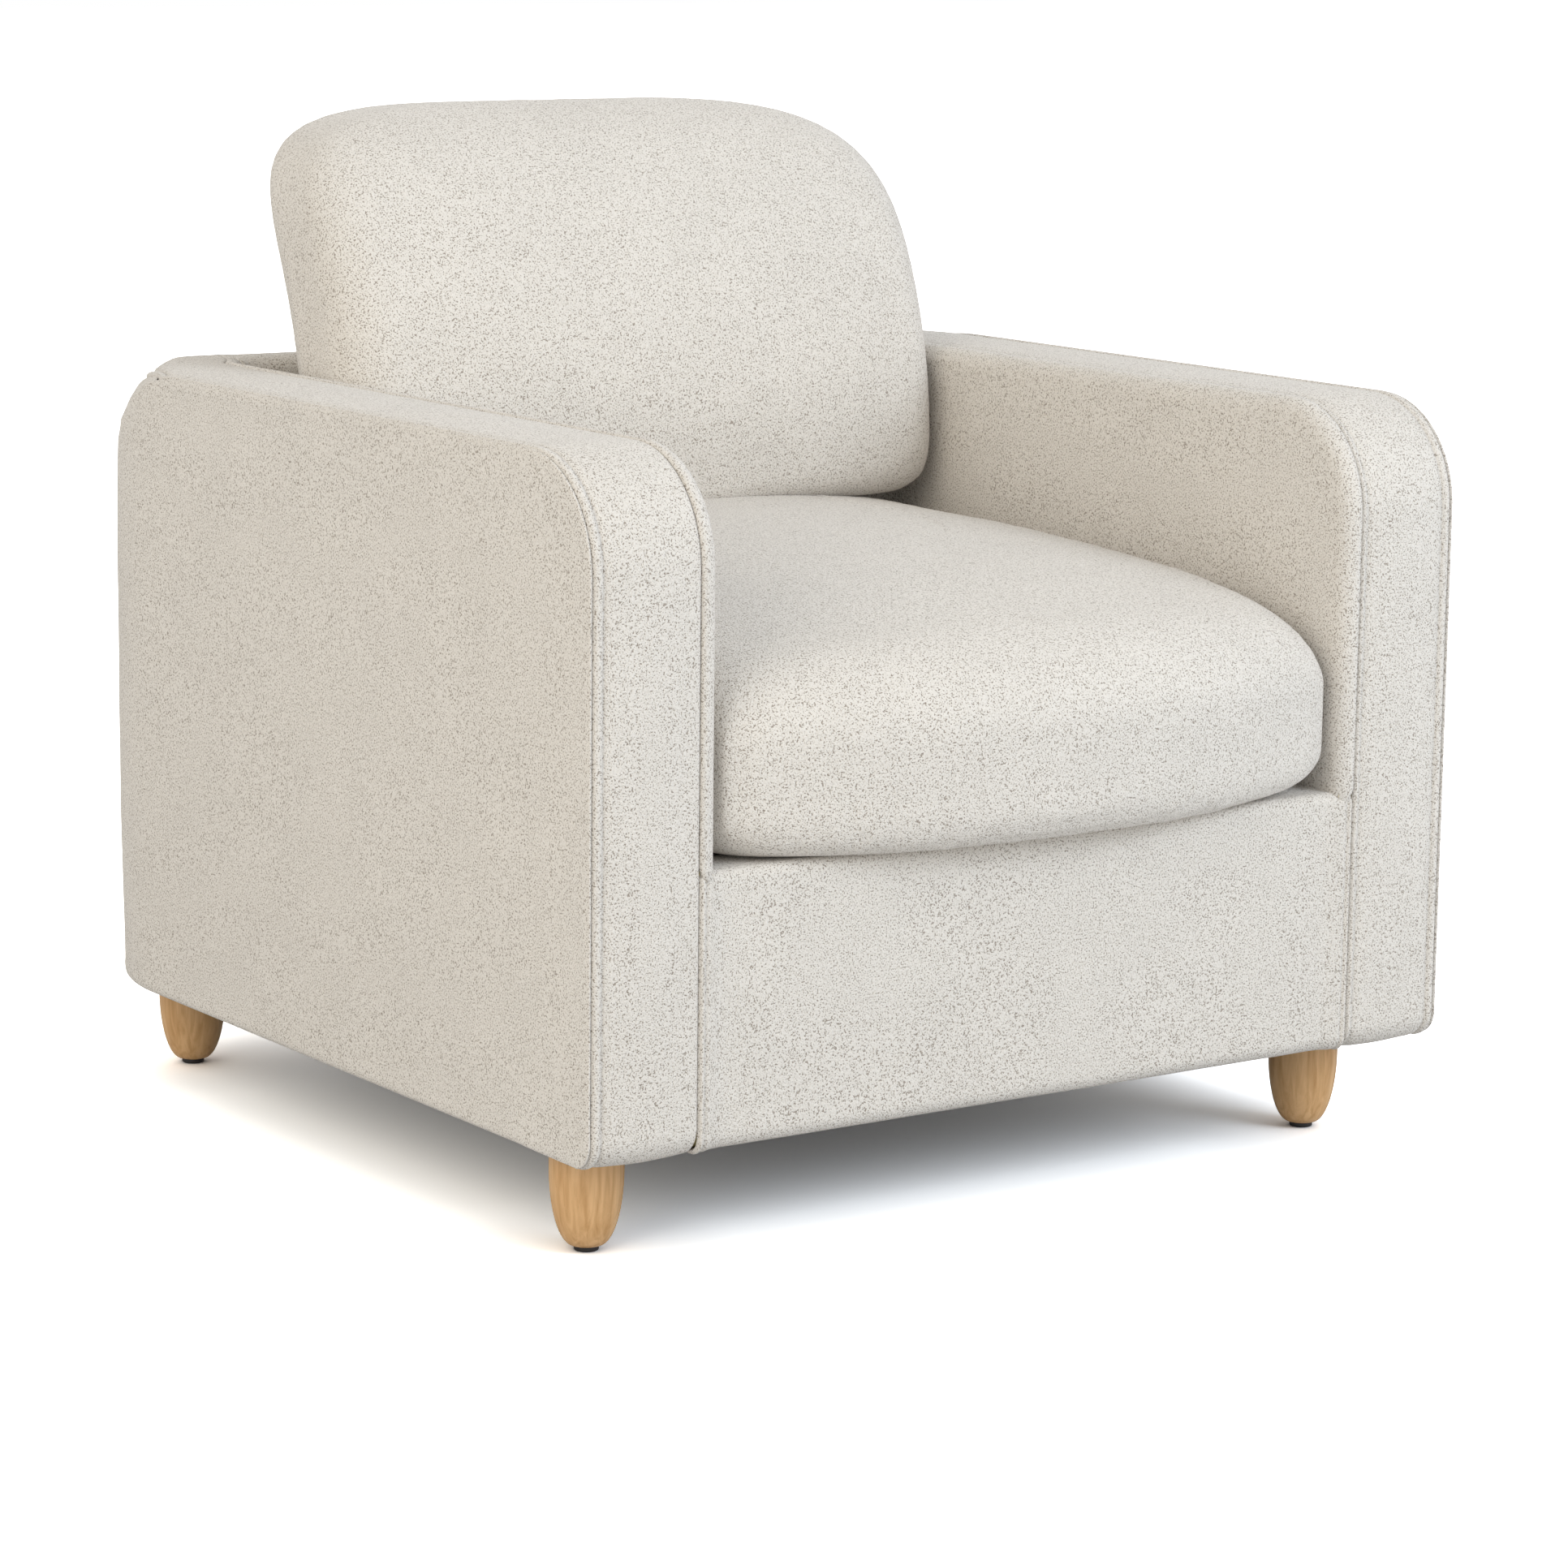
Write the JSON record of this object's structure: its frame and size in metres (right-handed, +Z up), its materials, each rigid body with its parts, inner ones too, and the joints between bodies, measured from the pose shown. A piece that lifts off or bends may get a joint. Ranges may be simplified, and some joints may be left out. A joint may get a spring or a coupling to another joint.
{
  "type": "armchair",
  "caption": "Low armchair with a wrap-around upholstered frame, rounded arm fronts, a loose seat cushion, a loose back cushion and short turned oak legs.",
  "frame": {"origin": "on the floor, midway between the arms and midway between the front of the seat cushion and the outside back", "axes": "+X across the chair to the right of someone facing it, -Y out of its front, +Z up"},
  "size_m": [0.86, 0.955, 0.8658],
  "materials": {
    "cover_fabric": "cream boucle weave",
    "foam": "open-cell foam",
    "timber": "sawn pine",
    "plywood": "birch plywood",
    "oak": "turned oak, matt lacquer",
    "steel": "drawn",
    "dust_cloth": "non-woven cloth",
    "glide_plastic": "moulded",
    "webbing": "elastic webbing",
    "felt": "needled felt",
    "zip_tape": "woven tape with a nylon coil"
  },
  "bodies": {
    "frame": {"left_base_board": "timber", "right_base_board": "timber", "left_arm_outer_panel": "plywood", "right_arm_outer_panel": "plywood", "left_arm_inner_panel": "plywood", "right_arm_inner_panel": "plywood", "left_arm_front_post": "timber", "right_arm_front_post": "timber", "arm_rear_posts": "timber", "left_arm_top_rail": "timber", "right_arm_top_rail": "timber", "left_rear_corner_block": "timber", "right_rear_corner_block": "timber", "left_corner_former": "plywood", "right_corner_former": "plywood", "back_posts": "timber", "back_top_rail": "timber", "outside_back_board": "plywood", "back_webbing": "webbing", "front_seat_rail": "timber", "rear_seat_rail": "timber", "side_seat_rails": "timber", "seat_corner_blocks": "timber", "sinuous_springs": "steel", "spring_clips": "steel", "spring_felt": "felt", "deck_pad": "foam", "deck_cloth": "cover_fabric", "left_arm_foam": "foam", "right_arm_foam": "foam", "back_foam": "foam", "apron_foam": "foam", "left_arm_outer_cover": "cover_fabric", "right_arm_outer_cover": "cover_fabric", "left_arm_gusset": "cover_fabric", "right_arm_gusset": "cover_fabric", "left_arm_inner_cover": "cover_fabric", "right_arm_inner_cover": "cover_fabric", "back_gusset": "cover_fabric", "inside_back_cover": "cover_fabric", "outside_back_cover": "cover_fabric", "apron_cover": "cover_fabric", "dust_cover": "dust_cloth", "dust_cover_staples": "steel", "front_left_leg": "oak", "front_right_leg": "oak", "rear_left_leg": "oak", "rear_right_leg": "oak", "leg_bolts": "steel", "leg_t_nuts": "steel", "floor_glides": "glide_plastic"},
    "seat_cushion": {"seat_cushion_cover": "cover_fabric", "seat_cushion_foam": "foam", "seat_cushion_zip": "zip_tape"},
    "back_cushion": {"back_cushion_cover": "cover_fabric", "back_cushion_filling": "foam", "back_cushion_zip": "zip_tape"},
    "seat_zip_slider": {"seat_zip_slider": "steel"},
    "back_zip_slider": {"back_zip_slider": "steel"}
  },
  "joints": [
    {"name": "seat_cushion_pull", "type": "slide", "parent": "frame", "child": "seat_cushion", "axis": [0, -1, 0], "range_m": [0, 0.38]},
    {"name": "back_cushion_lift", "type": "slide", "parent": "frame", "child": "back_cushion", "axis": [0, 0, 1], "range_m": [0, 0.25]},
    {"name": "seat_zip", "type": "slide", "parent": "seat_cushion", "child": "seat_zip_slider", "axis": [-1, 0, 0], "range_m": [0, 0.38]},
    {"name": "back_zip", "type": "slide", "parent": "back_cushion", "child": "back_zip_slider", "axis": [-1, 0, 0], "range_m": [0, 0.38]}
  ]
}
